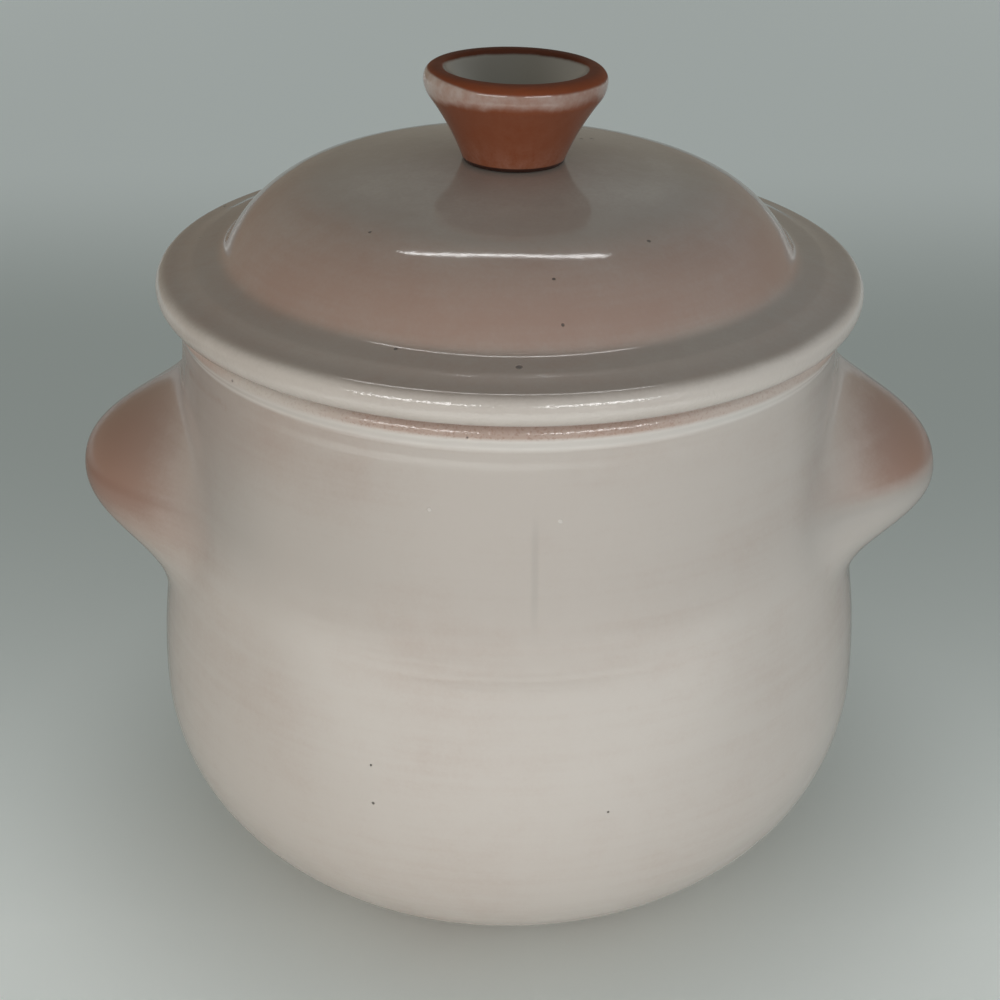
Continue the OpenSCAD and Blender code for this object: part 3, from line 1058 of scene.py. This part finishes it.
class CLAYPOT_OT_lute_ears(PotStep, bpy.types.Operator):
    """Lutes the two lug ears on the wall and smooths them into it"""

    bl_idname = "clay_pot.lute_ears"
    bl_label = "Lute on the ears"

    def execute(self, context):
        own = self.settings(context)
        _, right, left = wall_and_ears(own)
        finish = ear_finish(own.clay, own.pot, right)
        for hand, ear in (("right", right), ("left", left)):
            piece = make_piece(f"{hand}_lug_ear", fallen(ear.rings(), own.pot))
            stand_for(piece, f"{hand}_ear", "pot", finish)
        return {"FINISHED"}


class CLAYPOT_OT_throw_lid(PotStep, bpy.types.Operator):
    """Throws the lid: dome, crease and brim with its round edge, and the hollow under it"""

    bl_idname = "clay_pot.throw_lid"
    bl_label = "Throw the lid"

    STEP, LONGEST, BEND = 0.0006, 0.0018, math.radians(5)
    SOFTNESS, CREASE_SOFTNESS = 0.0007, 0.0016

    def execute(self, context):
        """The lid's section turned. On top, the crease is eased more widely than the other
        corners, and there are marks of the hand."""
        own = self.settings(context)
        pot, lid = own.pot, own.lid
        plain = lid_outline(pot, lid)
        crisp = rounded(plain, self.STEP, self.SOFTNESS)
        soft = rounded(plain, self.STEP, self.CREASE_SOFTNESS)
        near_crease = ease(np.abs(crisp[:, :1] - lid.crease_d / 2), 0.010, 0.005)
        near_crease *= ease(crisp[:, 1:], pot.rim_h + 0.003, pot.rim_h + 0.006)
        fine = crisp + (soft - crisp) * near_crease
        outline = thinned(fine[::-1], self.LONGEST, self.BEND)
        above = ease(outline[:, 1:], pot.rim_h + 0.001, pot.rim_h + 0.004)
        swell = hand_marks(outline, self.TURNS, pot.ripple, pot.wobble) * above
        rings = tilted(turned(outline, self.TURNS, swell), pot.rim_fall)
        piece = make_piece("domed_lid", rings)
        stand_for(piece, "lid_shell", "lid", lid_finish(own.clay, lid))
        return {"FINISHED"}


class CLAYPOT_OT_add_ring(PotStep, bpy.types.Operator):
    """Adds the ring under the brim that keeps the lid in the mouth"""

    bl_idname = "clay_pot.add_ring"
    bl_label = "Add the locating ring"

    STEP, SOFTNESS = 0.0004, 0.0003

    def execute(self, context):
        own = self.settings(context)
        pot, lid = own.pot, own.lid
        outline = rounded(ring_outline(pot, lid), self.STEP, self.SOFTNESS, closed=True)
        rings = tilted(turned(outline, self.TURNS), pot.rim_fall)
        piece = make_piece("locating_ring", rings, closed=True)
        stand_for(piece, "lid_ring", "lid", lid_finish(own.clay, lid))
        return {"FINISHED"}


class CLAYPOT_OT_set_knob(PotStep, bpy.types.Operator):
    """Throws the hollow flared knob and sets it on the dome, a little off true"""

    bl_idname = "clay_pot.set_knob"
    bl_label = "Set the knob"

    STEP, SOFTNESS = 0.0003, 0.0004
    # The band of milk starts below the widest line, and the bare lip above it.
    BAND_BELOW, LIP_ABOVE = 0.0040, 0.0013
    # The foot's height, and how far outside the mouth the glaze of the well starts.
    FOOT_H, LIP_EDGE = 0.0005, 0.0004

    @staticmethod
    def leant(across, up, lean):
        """Two coordinates turned by the lean, an angle, so that up leans across."""
        cos, sin = math.cos(lean), math.sin(lean)
        return across * cos + up * sin, up * cos - across * sin

    def execute(self, context):
        """The knob's section turned, leant to the back and to the right, and set on top."""
        own = self.settings(context)
        knob = own.knob
        outline = rounded(knob_outline(knob), self.STEP, self.SOFTNESS)
        along = arc_lengths(outline)
        out, height = outline.T
        widest, top_row = int(np.argmax(out)), int(np.argmax(height))
        inside = out[top_row:] < knob.mouth_d / 2 + self.LIP_EDGE
        zones = {
            "foot": along[int(np.argmax(height > self.FOOT_H))],
            "band": along[widest] - self.BAND_BELOW,
            "lip": along[widest] + self.LIP_ABOVE,
            "well": along[top_row + int(np.argmax(inside))],
        }
        x, y, z = np.moveaxis(turned(outline, self.TURNS), -1, 0)
        y, z = self.leant(y, z, knob.nod)
        x, z = self.leant(x, z, knob.lean)
        *_, top, _ = lid_sizes(own.pot, own.lid)
        rings = np.stack([x + knob.shift, y, z + top], axis=-1)
        piece = make_piece("flared_knob", rings, run_along=along)
        stand_for(piece, "lid_knob", "lid", knob_finish(own.clay, knob, zones))
        return {"FINISHED"}


class CLAYPOT_OT_set_stage(PotStep, bpy.types.Operator):
    """Sets up the pale floor, the soft lights, the surroundings and the camera"""

    bl_idname = "clay_pot.set_stage"
    bl_label = "Set the stage"

    FLOOR_HALF, FLOOR_CELLS = 4.0, 8
    AIM = np.array([0.0, 0.0, 0.12])
    SENSOR, CLIP = 36.0, (0.01, 50.0)

    def execute(self, context):
        """The low lights and the back lights don't show in the pot's gloss. The windows and
        the tube show there and light nothing else."""
        own = self.settings(context).stage
        self.floor(own)
        self.surroundings(context.scene, own)
        for side in (-1, 1):
            front = own.front * (1.0 + side * 0.04)
            place = side * 0.95, -1.3, 0.18
            low = self.lamp(f"low_light_{side}", front, place, (1.34, 0.34), "glossy")
            low.data.color = (1.0 - side * 0.04, 0.99 + side * 0.005, 0.99 + side * 0.05)
            place = side * 0.85, -1.55, 0.90
            self.lamp(f"window_{side}", own.window, place, (1.15, 0.24), "diffuse")
            place = side * 1.3, 1.5, 0.20
            self.lamp(f"back_light_{side}", own.back, place, (1.30, 0.36), "glossy")
        self.lamp("tube_over_the_lid", own.tube, (0.0, 0.60, 1.55), (0.96, 0.05), "diffuse")
        self.camera(context.scene, own)
        context.scene.view_settings.view_transform = "Standard"
        return {"FINISHED"}

    def floor(self, own):
        """Flat square of matt card: (x, y, 0) on a grid."""
        count = self.FLOOR_CELLS + 1
        side = np.linspace(-self.FLOOR_HALF, self.FLOOR_HALF, count)
        x, y = np.meshgrid(side, side)
        points = np.column_stack([x.ravel(), y.ravel(), np.zeros(x.size)])
        at = np.arange(x.size).reshape(count, count)
        faces = np.stack([at[:-1, :-1], at[:-1, 1:], at[1:, 1:], at[1:, :-1]], axis=-1)
        mesh = bpy.data.meshes.new("pale_floor")
        mesh.from_pydata(points.tolist(), [], faces.reshape(-1, 4).tolist())
        floor = bpy.data.objects.new("pale_floor", mesh)
        bpy.context.scene.collection.objects.link(floor)
        mesh.materials.append(self.card(own))

    def card(self, own):
        """Finish of the floor, in three layers.

        Seen straight, it is painted darkest behind the pot, as painted shade, and glows a little
        away from it, which leaves a painted shadow round the pot. In the pot's gloss it glows as a
        round table, bright in front, with the dark beyond: a painted reflection. Far off and
        behind the camera it fades into plain air.
        """
        made, finish = Finish.material("matt_card")
        dark = (0.0, 0.0, 0.0)
        place = finish.place()
        _, y, _ = finish.axes(place)
        out = finish.length(place)
        seen = finish.node("ShaderNodeLightPath", output="Is Camera Ray")
        mirrored = seen.other("Is Glossy Ray")
        # Painted shade: the floor is painted paler in front and far off, darkest behind the pot.
        near = finish.node("ShaderNodeMapRange", sockets={
            "Value": y, "From Min": 0.38, "From Max": -0.07,
        }) ** 2.5
        base = finish.blend(near, own.floor_mid, own.floor_near)
        base = finish.blend(finish.step(y, 0.38, 0.68), base, own.floor_far)
        # Painted shadow: the floor's glow fades out near the pot.
        away = finish.step(out, 0.08, 0.18)
        # Painted reflection: in the gloss the floor glows as a bright table in front, and is
        # painted dark beyond it.
        middle = finish.vector("SUBTRACT", place, (-0.01, -0.03, 0.0))
        table = finish.step(finish.length(middle), 0.445, 0.385)
        table = table * (1 - finish.step(y, -0.02, 0.16) * 0.4)
        beyond = (1 - table) * finish.step(y, 0.38, 0.18)
        base = finish.blend(mirrored * beyond * 0.9, base, dark)
        sheen = mirrored * table * finish.step(y, -0.07, -0.35)
        glow = (0.2 + near * 0.8) * away * seen * own.glow + sheen * own.sheen
        card = finish.node("ShaderNodeBsdfPrincipled", sockets={
            "Base Color": base, "Roughness": 0.9,
            "Emission Color": finish.blend(glow, dark, own.floor_near), "Emission Strength": 1.0,
        })
        far_off = finish.step(out, 1.2, 1.7)
        veil = seen * (far_off + (1 - far_off) * finish.step(y, -0.2, -0.7))
        air = finish.node("ShaderNodeEmission", sockets={"Color": (*own.air, 1.0)})
        shader = finish.node("ShaderNodeMixShader", sockets={0: veil, 1: card, 2: air})
        finish.node("ShaderNodeOutputMaterial", sockets={"Surface": shader})
        return made

    def surroundings(self, scene, own):
        """Plain grey air, a little darker overhead, with a darker left and a darker low
        back in the gloss."""
        world = bpy.data.worlds.new("soft_air")
        world.use_nodes = True
        scene.world = world
        finish = Finish(world.node_tree)
        across, back, up = finish.axes(finish.node("ShaderNodeTexCoord", output="Generated"))
        mirrored = finish.node("ShaderNodeLightPath", output="Is Glossy Ray")
        tone = finish.blend(finish.step(up, 0.0, 0.9), own.air, [0.6 * c for c in own.air])
        left = finish.step(across, 0.5, -0.7)
        low = finish.step(up, 0.5, 0.15) * finish.step(back, 0.0, 0.4) * 0.7
        tone = finish.blend(mirrored * (left + (1 - left) * low), tone, own.dusk)
        light = finish.node("ShaderNodeBackground", sockets={"Color": tone, "Strength": 1.0})
        finish.node("ShaderNodeOutputWorld", sockets={"Surface": light})

    def lamp(self, name, brightness, place, size, unseen_by):
        """Rectangular lamp that faces the pot. Its watts are brightness x pi x area.

        The camera doesn't see it, nor do the rays that unseen_by names.
        """
        light = bpy.data.lights.new(name, "AREA")
        light.shape = "RECTANGLE"
        light.size, light.size_y = size
        light.energy = brightness * math.pi * size[0] * size[1]
        lamp = bpy.data.objects.new(name, light)
        x, y, z = self.AIM - place
        lamp.location = place
        lamp.rotation_euler = (math.atan2(math.hypot(x, y), -z), 0.0, math.atan2(-x, y))
        lamp.visible_camera = False
        setattr(lamp, f"visible_{unseen_by}", False)
        bpy.context.scene.collection.objects.link(lamp)
        return lamp

    def camera(self, scene, own):
        """Camera in front of the pot that looks down on it."""
        data = bpy.data.cameras.new("camera")
        data.lens, data.sensor_width = own.lens, self.SENSOR
        data.clip_start, data.clip_end = self.CLIP
        camera = bpy.data.objects.new("camera", data)
        camera.location = (0.0, -own.camera_y, own.camera_z)
        camera.rotation_euler = (QUARTER_TURN - own.camera_pitch, 0.0, own.camera_yaw)
        scene.collection.objects.link(camera)
        scene.camera = camera


class CLAYPOT_PT_sidebar(bpy.types.Panel):
    """Sidebar with the settings and the steps"""

    bl_idname = "CLAYPOT_PT_sidebar"
    bl_label = "Clay pot"
    bl_space_type = "VIEW_3D"
    bl_region_type = "UI"
    bl_category = "Clay pot"

    def draw(self, context):
        own = context.scene.clay_pot
        for part in ClayPotSettings.__annotations__:
            settings = getattr(own, part)
            box = self.layout.box()
            box.label(text=part.capitalize())
            for key in settings.__annotations__:
                box.prop(settings, key)
        for step in STEPS:
            self.layout.operator(step.bl_idname)


GROUPS = (PotSizes, EarSizes, LidSizes, KnobSizes, ClayColours, StageSettings, ClayPotSettings)
STEPS = (
    CLAYPOT_OT_throw_body,
    CLAYPOT_OT_lute_ears,
    CLAYPOT_OT_throw_lid,
    CLAYPOT_OT_add_ring,
    CLAYPOT_OT_set_knob,
    CLAYPOT_OT_set_stage,
)
CLASSES = (*GROUPS, *STEPS, CLAYPOT_PT_sidebar)


def register():
    for each in CLASSES:
        bpy.utils.register_class(each)
    bpy.types.Scene.clay_pot = group("Clay pot", "Settings of the clay pot", ClayPotSettings)


def unregister():
    del bpy.types.Scene.clay_pot
    for each in reversed(CLASSES):
        bpy.utils.unregister_class(each)


def main():
    register()
    for step in STEPS:
        family, name = step.bl_idname.split(".")
        getattr(getattr(bpy.ops, family), name)()


if __name__ == "__main__":
    main()
